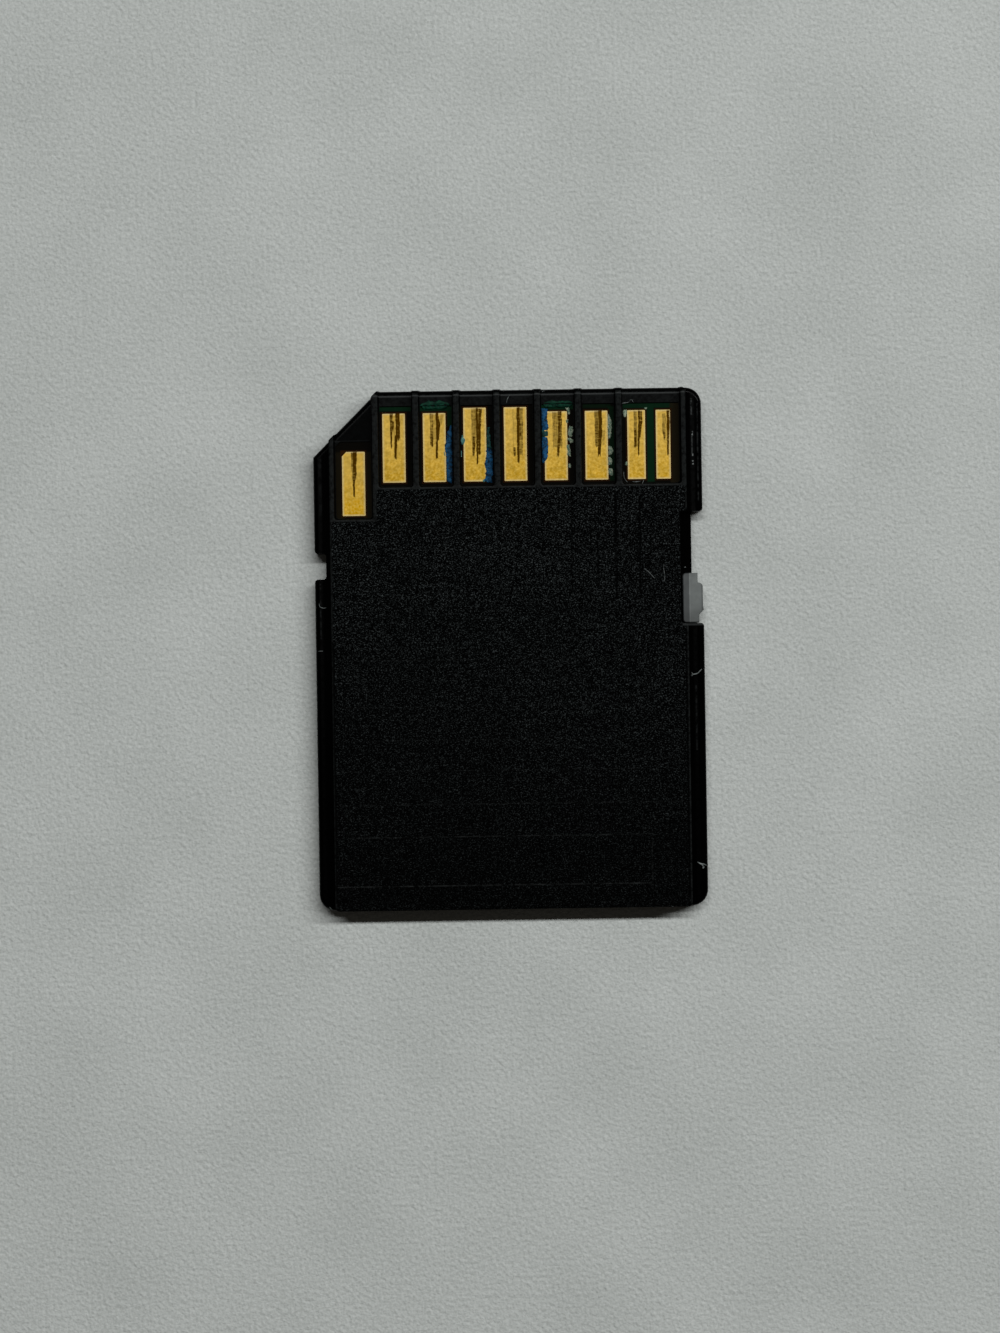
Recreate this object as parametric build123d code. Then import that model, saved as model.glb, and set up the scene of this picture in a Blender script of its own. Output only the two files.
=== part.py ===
from build123d import *
import os

# Millimetres. +X is the lock side, +Y the contact end, +Z the contact side; Z = 0 is the label face.

# Plan of the card
card_width = 24.0
card_length = 32.0
corner_cut = 4.0              # bevelled corner at the contact end
corner_radius = 1.0           # the three square corners
rail_width = 1.0              # edge of the card to the wall of the raised field
field_corner_radius = 0.3
notch_depth = 0.72            # both side notches, in from the edge
notch_root_radius = 0.2
lobe_radius = 0.22            # corners of the rails beside the notches
key_notch_front = 9.94        # contact edge to the near end of the notch on the left
key_notch_length = 1.6
lock_notch_front = 7.66       # contact edge to the near end of the slider's notch
lock_notch_length = 6.9

# Layers, from the label face up
floor_thickness = 0.35
component_space = 0.715       # floor to the underside of the board
board_thickness = 0.3
window_depth = 0.735          # face of the board to the top of the raised field
rail_drop = 0.7               # top of the raised field down to the rails
rim_height = 0.35             # floor to the plane where the two shells are welded
skin_thickness = 0.45         # roof of the contact shell over its relief
ledge_thickness = 0.135       # front ledges, above the face of the board
pad_thickness = 0.035

# Edges
rail_edge_radius = 0.3
field_edge_radius = 0.1
label_edge_chamfer = 0.15
front_edge_radius = 0.36      # ribs and ledges, where they meet the contact edge
window_edge_width = 0.09      # worn top edges of the windows and ribs, along the field
window_edge_drop = 0.02
seam_chamfer = 0.04           # fine groove round the weld between the two shells

# Comb of ribs and the contact windows between them
rib_count = 7
first_rib = 3.87              # left edge of the card to the middle of the first rib
last_rib = 5.13               # right edge of the card to the middle of the last rib
rib_top_width = 0.34
rib_base_width = 0.55
border_strip = 0.29           # strip of field outside the two outer windows
window_back = 5.98            # contact edge to the back wall of the windows, at the top
window_corner_radius = 0.2
ledge_depth = 0.92            # contact edge to the inner edge of the ledges
side_window_back = 7.92       # the same two for the window behind the bevelled corner
side_ledge_depth = 3.05

# Pads, by their gaps to the walls of their windows
pad_left_gap = 0.165
pad_right_gap = 0.385
pad_back_gap = 0.25
pad_front_gap = 0.455
long_pad_front_gap = 0.16     # the third and fourth pads nearly reach the ledge
narrow_pad_left_gap = 0.275   # the seventh pad, which shares its window with the eighth
narrow_pad_width = 1.1
narrow_pad_spacing = 0.66
last_pad_right_gap = 0.54
side_pad_gap = 0.395          # the ninth pad, in the window behind the bevelled corner
side_pad_front_gap = 0.64
side_pad_back_gap = 0.17
side_pad_cut = 0.27
pad_radius = 0.05

# Board and its seat
board_lap = 0.125             # board past the window openings, at the sides
board_front_lap = 0.37        # board under the ledges
board_back_margin = 1.0       # back edge of the card to the board
bevel_wall = 0.4              # shell left between the bevelled corner and the board
lock_wall = 0.7               # shell left between the slider's shelf and the board
board_clearance = 0.05
lip_width = 0.5               # lip of the label shell that holds the board from below
seat_width = 0.9              # rim of the contact shell that rests on the board
label_margin = 2.0            # edge of the card to the shallow recess for a label
label_recess = 0.1

# Lock slider, clipped over a tongue along its notch
shelf_width = 0.73            # root of the notch to the wall of the field
tongue_above = 0.3            # tongue above the plane of the weld
tongue_below = 0.3
slider_length = 3.05
slider_clearance = 0.04
slider_inner_gap = 0.15       # wall of the field to the slider
slider_web = 0.3              # wall of the slider outside the tongue
nub_reach = 0.31              # finger nub past that wall
nub_tip = 0.05                # pointed end of the nub past its flat
nub_start = 0.5               # back end of the slider to the nub
nub_ramp = 0.28               # along the slope up to that point
nub_length = 1.95
nub_radius = 0.25
slider_drop = 0.02            # top of the rails down to the slider
slider_lift = 0.06            # label face up to the slider
slider_chamfer = 0.05
detent_radius = 0.14          # bump on the tongue, just ahead of the locked slider
detent_top_radius = 0.06
detent_rise = 0.08
detent_ahead = 0.37
detent_inset = 0.32           # wall of the field to the middle of the bump

# Packages under the board
package_clearance = 0.07      # packages to the floor of the label shell
flash_width = 15.4
flash_length = 12.0
flash_standoff = 0.05
flash_back_gap = 1.7          # back edge of the board to the package
lead_count = 24
lead_pitch = 0.5
lead_width = 0.2
lead_thickness = 0.1
lead_reach = 0.8
lead_foot = 0.45
controller_size = 7.0
controller_cut = 0.5          # corner that marks the first contact
controller_gap = 2.0          # flash package to the controller
controller_left = 3.7         # left edge of the board to the controller
passive_count = 4
passive_pitch = 1.7
passive_gap = 1.6             # controller to the first column of passives
passive_column_gap = 1.2
passive_length = 1.0
passive_width = 0.5
terminal_length = 0.25
terminal_step = 0.03
capacitor_height = 0.45
resistor_height = 0.33

# Places that follow from these sizes
half_width = card_width / 2
half_length = card_length / 2
field_half = half_width - rail_width
bevel_line = half_width + half_length - corner_cut   # Y less X all along the bevelled corner
board_bottom = floor_thickness + component_space
board_top = board_bottom + board_thickness
card_thickness = board_top + window_depth
rail_top = card_thickness - rail_drop
ledge_top = board_top + ledge_thickness
parting = floor_thickness + rim_height
tongue_top = parting + tongue_above
tongue_bottom = parting - tongue_below
notch_root = half_width - notch_depth
shelf_wall = notch_root - shelf_width
shelf_radius = min(lobe_radius, (field_half - shelf_wall) * 0.45)   # two to one step of the wall
key_front = half_length - key_notch_front
key_back = key_front - key_notch_length
lock_front = half_length - lock_notch_front
lock_back = lock_front - lock_notch_length
ledge_inner = half_length - ledge_depth
rib_slope = (rib_base_width - rib_top_width) / 2
contact_pitch = (card_width - first_rib - last_rib) / (rib_count - 1)
ribs = [first_rib - half_width + contact_pitch * place for place in range(rib_count)]
board_left = -field_half + border_strip + rib_slope - board_lap
board_right = field_half - border_strip - rib_slope + board_lap
board_back = -half_length + board_back_margin
board_front = ledge_inner + board_front_lap
package_height = component_space - package_clearance
tool_margin = 1.0             # cutting tools reach this far past the card


def plan_box(left, right, back, front):
    return Pos((left + right) / 2, (back + front) / 2) * Rectangle(right - left, front - back)


def slab(plan, low, high):
    return extrude(Pos(0, 0, low) * plan, high - low)


def corners_at(plan, across, along):
    """Corners of a plan at one of these X and one of these Y."""
    return [
        corner
        for corner in plan.vertices()
        if min(abs(corner.X - x) for x in across) < 1e-6 and min(abs(corner.Y - y) for y in along) < 1e-6
    ]


def bevelled_plan(half, radius):
    """Plan of the card between -half and +half in X, with its three square corners rounded."""
    corners = [
        (-half, -half_length),
        (half, -half_length),
        (half, half_length),
        (half_length - bevel_line, half_length),
        (-half, bevel_line - half),
    ]
    plan = make_face(Polyline(*corners, close=True))
    return fillet(corners_at(plan, (-half, half), (-half_length, half_length)), radius)


def notch_plan():
    """What the two side notches take out of the card, with rounded roots and rail lobes."""
    outline = bevelled_plan(half_width, corner_radius)
    cut = outline - plan_box(notch_root, half_width + tool_margin, lock_back, lock_front)
    cut = cut - plan_box(-half_width - tool_margin, -notch_root, key_back, key_front)
    roots = corners_at(cut, (notch_root,), (lock_back, lock_front))
    roots = roots + corners_at(cut, (-notch_root,), (key_back, key_front))
    cut = fillet(roots, notch_root_radius)
    lobes = corners_at(cut, (half_width,), (lock_back, lock_front))
    lobes = lobes + corners_at(cut, (-half_width,), (key_back, key_front))
    return outline - fillet(lobes, lobe_radius)


def shelf_plan():
    """Room beside the field for the legs of the slider, over and under the tongue."""
    plan = plan_box(shelf_wall, half_width + tool_margin, lock_back, lock_front)
    return fillet(corners_at(plan, (shelf_wall,), (lock_back, lock_front)), shelf_radius)


def board_plan():
    """Board under every window, bevelled with the card and cut in beside the slider."""
    inner_bevel = bevel_line - bevel_wall * 2**0.5
    cut_in = shelf_wall - lock_wall
    corners = [
        (board_left, board_back),
        (board_right, board_back),
        (board_right, lock_back - lock_wall),
        (cut_in, lock_back - lock_wall),
        (cut_in, lock_front + lock_wall),
        (board_right, lock_front + lock_wall),
        (board_right, board_front),
        (board_front - inner_bevel, board_front),
        (board_left, inner_bevel + board_left),
    ]
    return make_face(Polyline(*corners, close=True))


def grown(plan, amount):
    return offset(plan, amount, kind=Kind.INTERSECTION)


def windows():
    """Left and right walls at the field, back wall and ledge of each contact window."""
    half_rib = rib_top_width / 2
    back = half_length - window_back
    spans = [
        (ribs[place] + half_rib, ribs[place + 1] - half_rib, back, ledge_inner)
        for place in range(rib_count - 1)
    ]
    spans.append((ribs[-1] + half_rib, field_half - border_strip, back, ledge_inner))
    side_back = half_length - side_window_back
    side_inner = half_length - side_ledge_depth
    spans.append((border_strip - field_half, ribs[0] - half_rib, side_back, side_inner))
    return spans


def wall_inset(level):
    """How far the sloping walls of a window have come in at a level, from their edge at the field."""
    return rib_slope * (card_thickness - level) / window_depth


def window_floor(left, right, back, front):
    """Plan of a window at the face of the board, with its back corners rounded."""
    inset = wall_inset(board_top)
    plan = plan_box(left + inset, right - inset, back + inset, front)
    return fillet(plan.vertices().sort_by(Axis.Y)[:2], window_corner_radius)


def window_pocket(left, right, back):
    """Space of a window over its ledge, open to the contact edge, with sloping side and back walls."""
    low_inset = wall_inset(ledge_top)
    high = card_thickness + tool_margin
    high_inset = wall_inset(high)
    front = half_length + 2 * tool_margin
    across = make_face(Polyline(
        (left + low_inset, ledge_top), (right - low_inset, ledge_top),
        (right - high_inset, high), (left + high_inset, high), close=True,
    ))
    along = make_face(Polyline(
        (back + low_inset, ledge_top), (front, ledge_top), (front, high), (back + high_inset, high), close=True,
    ))
    pocket = extrude(Plane.XZ * across, card_length, both=True) & extrude(Plane.YZ * along, card_width, both=True)
    back_wall = pocket.faces().sort_by(Axis.Y)[0]
    corners = [edge for edge in back_wall.edges() if abs(edge.tangent_at(0.5).X) < 0.5]
    return fillet(corners, window_corner_radius)


def make_comb():
    """Block as wide as the card with the windows cut into it, their top edges and its front edge eased."""
    block = plan_box(-half_width, half_width, -half_length, half_length + tool_margin)
    comb = slab(block, parting, card_thickness)
    for left, right, back, _ in windows():
        comb = comb - window_pocket(left, right, back)
    top = comb.faces().sort_by(Axis.Z)[-1]
    rims = [edge for edge in top.edges() if abs(edge.center().X) < field_half and abs(edge.center().Y) < half_length]
    comb = chamfer(rims, window_edge_width, window_edge_drop, reference=top)
    rounded = slab(plan_box(-half_width, half_width, -half_length, half_length), parting, card_thickness)
    front_edge = rounded.edges().filter_by(Axis.X).group_by(Axis.Z)[-1].sort_by(Axis.Y)[-1]
    return comb & fillet(front_edge, front_edge_radius)


def make_contact_shell():
    outline = bevelled_plan(half_width, corner_radius)
    rails = slab(outline, parting, rail_top)
    rails = fillet(rails.faces().sort_by(Axis.Z)[-1].edges(), rail_edge_radius)
    rails = chamfer(rails.faces().sort_by(Axis.Z)[0].edges(), seam_chamfer)
    rails = rails - slab(shelf_plan(), tongue_top, card_thickness)
    field_plan = bevelled_plan(field_half, field_corner_radius) - shelf_plan()
    field_plan = fillet(corners_at(field_plan, (field_half,), (lock_back, lock_front)), shelf_radius)
    field = slab(field_plan, parting + seam_chamfer, card_thickness)
    field = fillet(field.faces().sort_by(Axis.Z)[-1].edges(), field_edge_radius) & make_comb()
    shell = rails + field - slab(notch_plan(), 0, card_thickness)

    opening = grown(board_plan(), -board_lap)
    for left, right, back, inner in windows():
        shell = shell - slab(window_floor(left, right, back, inner) & opening, parting, ledge_top)

    outer_walls = [
        edge
        for edge in shell.edges().filter_by_position(Axis.Z, ledge_top, ledge_top)
        if abs(edge.center().Y - half_length) < 1e-3
        or abs(edge.center().Y - edge.center().X - bevel_line) < 1e-3
    ]
    shell = fillet(outer_walls, front_edge_radius)

    shell = shell - slab(grown(board_plan(), board_clearance), parting, board_top)
    relief_front = half_length - side_window_back - seat_width
    relief = grown(board_plan(), -seat_width)
    relief = relief & plan_box(-half_width, half_width, -half_length, relief_front)
    shell = shell - slab(relief, parting, card_thickness - skin_thickness)

    bump = Pos(
        shelf_wall + detent_inset,
        lock_back + slider_clearance + slider_length + detent_ahead,
        tongue_top,
    ) * Cone(detent_radius, detent_top_radius, detent_rise, align=(Align.CENTER, Align.CENTER, Align.MIN))
    return shell + bump


def make_label_shell():
    shell = slab(bevelled_plan(half_width, corner_radius), 0, parting)
    shell = chamfer(shell.faces().sort_by(Axis.Z)[0].edges(), label_edge_chamfer)
    shell = chamfer(shell.faces().sort_by(Axis.Z)[-1].edges(), seam_chamfer)
    shell = shell - slab(notch_plan(), 0, parting)
    shell = shell - slab(shelf_plan(), 0, tongue_bottom)
    shell = shell - slab(grown(bevelled_plan(half_width, corner_radius), -label_margin), 0, label_recess)
    shell = shell + slab(board_plan(), parting, board_bottom)
    return shell - slab(grown(board_plan(), -lip_width), floor_thickness, board_bottom)


def make_lock_slider():
    back = lock_back + slider_clearance
    front = back + slider_length
    inner = shelf_wall + slider_inner_gap
    web_inner = notch_root + slider_clearance
    web_outer = web_inner + slider_web
    nub_outer = web_outer + nub_reach
    nub_back = back + nub_start
    nub_front = nub_back + nub_length
    heel = web_outer + nub_reach / 4
    tip_back = nub_back + nub_ramp
    corners = [
        (inner, back),
        (heel, back),
        (heel, nub_back),
        (nub_outer + nub_tip, tip_back),
        (nub_outer, tip_back + nub_radius),
        (nub_outer, nub_front),
        (web_outer, nub_front),
        (web_outer, front),
        (inner, front),
    ]
    plan = make_face(Polyline(*corners, close=True))
    plan = fillet(corners_at(plan, (nub_outer,), (nub_front,)), nub_radius)
    plan = fillet(corners_at(plan, (inner,), (back, front)), shelf_radius)
    body = slab(plan, slider_lift, rail_top - slider_drop)
    rims = body.faces().filter_by(Axis.Z)
    body = chamfer([edge for rim in rims for edge in rim.edges()], slider_chamfer)
    tongue = plan_box(inner - tool_margin, web_inner, back - tool_margin, front + tool_margin)
    body = body - slab(tongue, tongue_bottom - slider_clearance, tongue_top + slider_clearance)
    web_ends = [edge for edge in body.edges().filter_by(Axis.Z) if abs(edge.center().X - web_inner) < 1e-6]
    body = fillet(web_ends, notch_root_radius)
    channel_edge = shelf_wall + detent_inset + detent_radius + slider_clearance
    channel = plan_box(inner - tool_margin, channel_edge, back - tool_margin, front + tool_margin)
    return body - slab(channel, tongue_top, tongue_top + detent_rise + slider_clearance)


def make_pad(left, right, back, front, cut=0.0):
    plan = plan_box(left, right, back, front)
    if cut:
        plan = chamfer(corners_at(plan, (left,), (front,)), cut)
        rounded = corners_at(plan, (right,), (back, front)) + corners_at(plan, (left,), (back,))
    else:
        rounded = plan.vertices()
    return slab(fillet(rounded, pad_radius), board_top, board_top + pad_thickness)


def make_pads():
    spans = windows()
    front_gaps = 2 * [pad_front_gap] + 2 * [long_pad_front_gap] + 2 * [pad_front_gap]
    pads = []
    for (left, right, back, inner), front_gap in zip(spans, front_gaps):
        pads.append(make_pad(
            left + rib_slope + pad_left_gap,
            right - rib_slope - pad_right_gap,
            back + rib_slope + pad_back_gap,
            inner - front_gap,
        ))
    left, right, back, inner = spans[-2]
    narrow_left = left + rib_slope + narrow_pad_left_gap
    last_left = narrow_left + narrow_pad_width + narrow_pad_spacing
    last_right = right - rib_slope - last_pad_right_gap
    ends = (back + rib_slope + pad_back_gap, inner - pad_front_gap)
    pads.append(make_pad(narrow_left, narrow_left + narrow_pad_width, *ends))
    pads.append(make_pad(last_left, last_right, *ends))
    left, right, back, inner = spans[-1]
    pads.append(make_pad(
        left + rib_slope + side_pad_gap,
        right - rib_slope - side_pad_gap,
        back + rib_slope + side_pad_back_gap,
        inner - side_pad_front_gap,
        cut=side_pad_cut,
    ))
    return pads


def make_flash_leads(body_back):
    """Two rows of gull-wing leads, from the middle of the package wall up to the board."""
    root = flash_width / 2
    exit_level = board_bottom - (package_height + flash_standoff) / 2
    tip = root + lead_reach
    knee = tip - lead_foot
    shoulder = root + (knee - root) / 2
    profile = [
        (root, exit_level),
        (shoulder, exit_level),
        (knee, board_bottom - lead_thickness),
        (tip, board_bottom - lead_thickness),
        (tip, board_bottom),
        (knee - lead_thickness / 2, board_bottom),
        (shoulder - lead_thickness / 2, exit_level + lead_thickness),
        (root, exit_level + lead_thickness),
    ]
    section = Plane.XZ * make_face(Polyline(*profile, close=True))
    lead = extrude(section, lead_width / 2, both=True)
    first = body_back + (flash_length - lead_pitch * (lead_count - 1)) / 2
    leads = []
    for place in range(lead_count):
        right_lead = Pos(0, first + lead_pitch * place) * lead
        leads.append(right_lead)
        leads.append(mirror(right_lead, Plane.YZ))
    return Compound(children=[lead.solid() for lead in leads])


def make_passive(height):
    """Chip passive with a terminal at each end, on the underside of the board."""
    aligned = (Align.CENTER, Align.CENTER, Align.MAX)
    body = Box(passive_length - terminal_length, passive_width - terminal_step, height - terminal_step,
               align=aligned)
    terminal = Box(terminal_length, passive_width, height, align=aligned)
    shift = (passive_length - terminal_length) / 2
    return body + Pos(shift) * terminal + Pos(-shift) * terminal


parts = {
    "contact_shell": make_contact_shell(),
    "label_shell": make_label_shell(),
    "lock_slider": make_lock_slider(),
    "circuit_board": slab(board_plan(), board_bottom, board_top),
}
for number, pad in enumerate(make_pads(), start=1):
    parts[f"contact_pad_{number}"] = pad

flash_back = board_back + flash_back_gap
flash_front = flash_back + flash_length
flash_plan = plan_box(-flash_width / 2, flash_width / 2, flash_back, flash_front)
parts["flash_chip"] = slab(flash_plan, board_bottom - package_height, board_bottom - flash_standoff)
parts["flash_chip_leads"] = make_flash_leads(flash_back)

chip_left = board_left + controller_left
chip_right = chip_left + controller_size
chip_back = flash_front + controller_gap
chip_plan = plan_box(chip_left, chip_right, chip_back, chip_back + controller_size)
chip_plan = chamfer(corners_at(chip_plan, (chip_left,), (chip_back,)), controller_cut)
parts["controller_chip"] = slab(chip_plan, board_bottom - package_height, board_bottom)

columns = {"capacitor": capacitor_height, "resistor": resistor_height}
for column, (kind, height) in enumerate(columns.items()):
    across = chip_right + passive_gap + column * (passive_length + passive_column_gap)
    for place in range(passive_count):
        along = chip_back + passive_width + passive_pitch * place
        parts[f"{kind}_{place + 1}"] = Pos(across, along, board_bottom) * make_passive(height)

os.makedirs("parts", exist_ok=True)
for name, shape in parts.items():
    export_step(shape, f"parts/{name}.step")
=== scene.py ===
import math

import bpy
from mathutils import Matrix, Vector, noise


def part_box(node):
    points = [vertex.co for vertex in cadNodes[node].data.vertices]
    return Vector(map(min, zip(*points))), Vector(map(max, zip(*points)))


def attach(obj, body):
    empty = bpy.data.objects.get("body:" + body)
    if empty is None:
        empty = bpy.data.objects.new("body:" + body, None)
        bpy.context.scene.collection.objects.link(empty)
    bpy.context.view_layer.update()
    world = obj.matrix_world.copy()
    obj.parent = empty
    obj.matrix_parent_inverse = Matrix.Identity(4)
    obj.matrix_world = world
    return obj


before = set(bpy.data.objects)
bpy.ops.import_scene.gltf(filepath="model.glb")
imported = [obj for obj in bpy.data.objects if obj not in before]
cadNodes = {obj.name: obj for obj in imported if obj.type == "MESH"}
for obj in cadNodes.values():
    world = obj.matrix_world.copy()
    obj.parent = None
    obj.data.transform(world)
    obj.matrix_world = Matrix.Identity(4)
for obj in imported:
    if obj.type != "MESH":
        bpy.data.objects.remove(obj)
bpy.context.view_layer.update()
mm = 0.001
print("frame loaded:", len(cadNodes), "nodes")


def toLinear(hexColour):
    values = [int(hexColour[place:place + 2], 16) / 255 for place in (1, 3, 5)]
    linear = [value / 12.92 if value <= 0.04045 else ((value + 0.055) / 1.055) ** 2.4 for value in values]
    return linear + [1.0]


def wire(tree, node, inputs):
    for socket, value in inputs.items():
        if isinstance(value, bpy.types.NodeSocket):
            tree.links.new(value, node.inputs[socket])
        else:
            node.inputs[socket].default_value = value


def addNode(tree, kind, inputs, **settings):
    node = tree.nodes.new("ShaderNode" + kind)
    for name, value in settings.items():
        setattr(node, name, value)
    wire(tree, node, inputs)
    return node.outputs


def newMaterial(name):
    material = bpy.data.materials.new(name)
    material.use_nodes = True
    tree = material.node_tree
    objectPlace = addNode(tree, "TexCoord", {})["Object"]
    place = addNode(tree, "VectorMath", {0: objectPlace, "Scale": 1 / mm}, operation="SCALE")[0]  # in mm
    return material, tree, tree.nodes["Principled BSDF"], place


def boxMask(tree, x, y, box, soft):
    # 1 inside a rectangle in mm, fading over soft at its edges
    left, right, back, front = box
    past = []
    for axis, low, high in ((x, left, right), (y, back, front)):
        offset = addNode(tree, "Math", {0: axis, 1: (low + high) / 2}, operation="SUBTRACT")[0]
        offset = addNode(tree, "Math", {0: offset}, operation="ABSOLUTE")[0]
        past.append(addNode(tree, "Math", {0: offset, 1: (high - low) / 2}, operation="SUBTRACT")[0])
    outside = addNode(tree, "Math", {0: past[0], 1: past[1]}, operation="MAXIMUM")[0]
    return addNode(tree, "MapRange", {0: outside, 1: soft / 2, 2: -soft / 2})[0]


def dress(material, *names):
    for name in names:
        slots = cadNodes[name].data.materials
        slots.clear()
        slots.append(material)


def boxInMm(node):
    return [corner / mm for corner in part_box(node)]


def makePiece(name, points, faces, material, body="card"):
    mesh = bpy.data.meshes.new(name)
    mesh.from_pydata([Vector(point) * mm for point in points], [], faces)
    mesh.validate()
    mesh.materials.append(material)
    mesh.shade_smooth()
    piece = bpy.data.objects.new(name, mesh)
    bpy.context.collection.objects.link(piece)
    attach(piece, body)


# Camera, square above the card

viewpoint = {
    "frameHeight": 82.4,           # mm of floor along the long side of the picture
    "level": 1.0,                  # mm, about half the height of the card
    "distance": 200.0,             # mm above that level
    "nearest": 10.0,               # mm
    "centre": (-0.652, -1.065),    # mm, what the middle of the picture looks at
    "turn": -0.86,                 # degrees, the card lies a little askew
    "sensor": 36.0,                # mm
}


def makeCamera():
    camera = bpy.data.cameras.new("camera")
    camera.sensor_width = viewpoint["sensor"]
    camera.lens = viewpoint["sensor"] * viewpoint["distance"] / viewpoint["frameHeight"]
    camera.clip_start = viewpoint["nearest"] * mm
    holder = bpy.data.objects.new("camera", camera)
    height = viewpoint["distance"] + viewpoint["level"]
    holder.location = Vector((*viewpoint["centre"], height)) * mm
    holder.rotation_euler = (0, 0, math.radians(viewpoint["turn"]))
    bpy.context.collection.objects.link(holder)
    bpy.context.scene.camera = holder


makeCamera()
print("camera placed")

# Light and floor

studio = {
    "tilt": 22.0,                  # degrees from straight above, towards the contact end
    "lean": 16.0,                  # degrees towards the lock side
    "distance": 600.0,             # mm
    "length": 800.0,               # mm, the strip runs across the card
    "depth": 44.0,                 # mm
    "watts": 3.28,
    "fill": 0.03,                  # even light from the room
    "fillColour": "#f4ecdd",
    "keyColour": "#fcfffe",
}
floorLook = {
    "size": 3000.0,                # mm
    "colour": "#d9dbd9", "mottle": "#b8bbb8",
    "tooth": 0.3, "toothDepth": 0.12,    # mm
    "fibre": 0.18,                 # mm, drawn coarser than real so that it shows
    "cloud": 8.33,                 # mm, broad mottle
    "fibreShare": 0.7, "cloudShare": 0.3,
    "roughness": 0.9, "gloss": 0.2,
}


def makeLight():
    strip = bpy.data.lights.new("stripLight", "AREA")
    strip.shape = "RECTANGLE"
    strip.size = studio["length"] * mm
    strip.size_y = studio["depth"] * mm
    strip.energy = studio["watts"]
    strip.color = toLinear(studio["keyColour"])[:3]
    holder = bpy.data.objects.new("stripLight", strip)
    tilt, lean = math.radians(studio["tilt"]), math.radians(studio["lean"])
    aim = Vector((math.tan(lean), math.tan(tilt), 1)).normalized()
    acrossCard = Vector((1, 0, 0))
    lengthwise = (acrossCard - aim * acrossCard.dot(aim)).normalized()
    turned = Matrix((lengthwise, aim.cross(lengthwise), aim)).transposed()
    holder.location = aim * studio["distance"] * mm
    holder.rotation_euler = turned.to_euler()
    bpy.context.collection.objects.link(holder)
    world = bpy.data.worlds.new("room")
    world.use_nodes = True
    bpy.context.scene.world = world
    wire(world.node_tree, world.node_tree.nodes["Background"], {
        "Color": toLinear(studio["fillColour"]),
        "Strength": studio["fill"],
    })


def mattCardFloor():
    # uncoated card, pressed: even and dull, with a faint mottle and tooth
    material, tree, shader, place = newMaterial("mattCardFloor")
    tooth, cloud, fibre = [
        addNode(tree, "TexNoise", {"Vector": place, "Scale": 1 / floorLook[size], "Detail": detail})[0]
        for size, detail in (("tooth", 4.0), ("cloud", 3.0), ("fibre", 3.0))
    ]
    broad = addNode(tree, "MapRange", {0: cloud, 1: 0.3, 2: 0.7, 4: floorLook["cloudShare"]})[0]
    fine = addNode(tree, "MapRange", {0: fibre, 1: 0.3, 2: 0.7, 4: floorLook["fibreShare"]})[0]
    shade = addNode(tree, "Math", {0: broad, 1: fine}, operation="ADD")[0]
    colour = addNode(tree, "Mix", {
        0: shade, 6: toLinear(floorLook["mottle"]), 7: toLinear(floorLook["colour"]),
    }, data_type="RGBA")[2]
    bump = addNode(tree, "Bump", {"Height": tooth, "Distance": floorLook["toothDepth"] * mm})[0]
    wire(tree, shader, {
        "Base Color": colour, "Roughness": floorLook["roughness"],
        "Specular IOR Level": floorLook["gloss"], "Normal": bump,
    })
    return material


def makeFloor():
    half = floorLook["size"] * mm / 2
    mesh = bpy.data.meshes.new("floor")
    corners = [(-half, -half, 0), (half, -half, 0), (half, half, 0), (-half, half, 0)]
    mesh.from_pydata(corners, [], [(0, 1, 2, 3)])
    mesh.materials.append(mattCardFloor())
    floor = bpy.data.objects.new("floor", mesh)
    bpy.context.collection.objects.link(floor)


makeLight()
makeFloor()
bpy.context.scene.view_settings.view_transform = "Standard"
print("light and floor made")

# Shells: black polycarbonate, injection moulded

shellLook = {
    "black": "#010101",
    "paintedGlint": "#484d4e",             # painted glints on the tops of the grain left by the mould's spark pits
    "lightMottle": "#1b1d1d",             # lighter mottle on the rib tops, ledges and field edges
    # scuffs, and the painted highlights on the edges and rails, share this colour
    "scuffAndHighlight": "#3a3c3c",
    "fleck": "#a0a5a4",             # bright flecks along the right rail's ridge
    "fieldTop": boxInMm("contact_shell")[1].z,
    "labelFace": (0.14, 0.11),     # mm, the label face fades in between these heights
    "ledgeTop": 1.5,               # mm
    "windowRow": (-8.2, 11.2, 9.91, 17.0),    # mm, no grain round the windows: left, right, back, front
    "sideWindow": (-11.2, -8.1, 7.97, 17.0),
    "bevelLedge": (-12.0, -8.38, 12.9, 17.0),
    "fieldEdge": 10.9,             # mm from the middle, where the edges of the field are rubbed
    "ridge": (11.34, 11.46, 11.6, 11.7),   # mm, the rubbed ridge along each rail
    "ridgeShift": 0.1,             # mm, the ridges lie this much to the left
    "ridgeWorn": (-9.0, 9.0, 0.45, 1.0),   # mm along the card, and how rubbed
    "frontRound": 15.63,           # mm, where the front edges start to round off
    "soft": 0.06, "broadSoft": 0.1,        # mm, over which marks and borders fade
    "grain": 0.072,                # mm, drawn coarser than real so that it shows
    "grainDraw": (0.88, 1.12, 1.0),
    "glintHeights": (0.62, 0.84),     # heights where its painted glints start and are full
    "grainDepth": 0.010,           # mm
    "satinDepth": 0.08,            # share of that depth off the field
    "coarse": 0.24,                # mm, larger lumps in the grain
    "coarseShare": 0.15,
    "cloud": 6.25,                 # mm, broad patches
    "streak": (8.0, 0.14),         # mm, length and spacing
    "glintAlongCard": (-15.0, 6.0, 0.35, 1.1),    # mm along the card, and how bright the painted glints on the tops
    "smear": 0.2,                  # mm, patches of dust
    "ledgeMottle": (0.45, 0.1),      # share on the ledges, and behind the bevelled corner
    "scuffBreak": 0.455,           # mm, gaps in the scuffs and the painted rail highlights
    "crumb": 0.143,                # mm, crumbs of the flecks
    "railRoughness": 0.18,
    "ridgeRoughness": 0.45,
    "bevelRoughness": 0.26,
    "ledgeRoughness": 0.38,
    "wallRoughness": 0.85,
    "combRoughness": 0.42,
    "fieldRoughness": 1.0,
    "gloss": 0.027,
}
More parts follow.
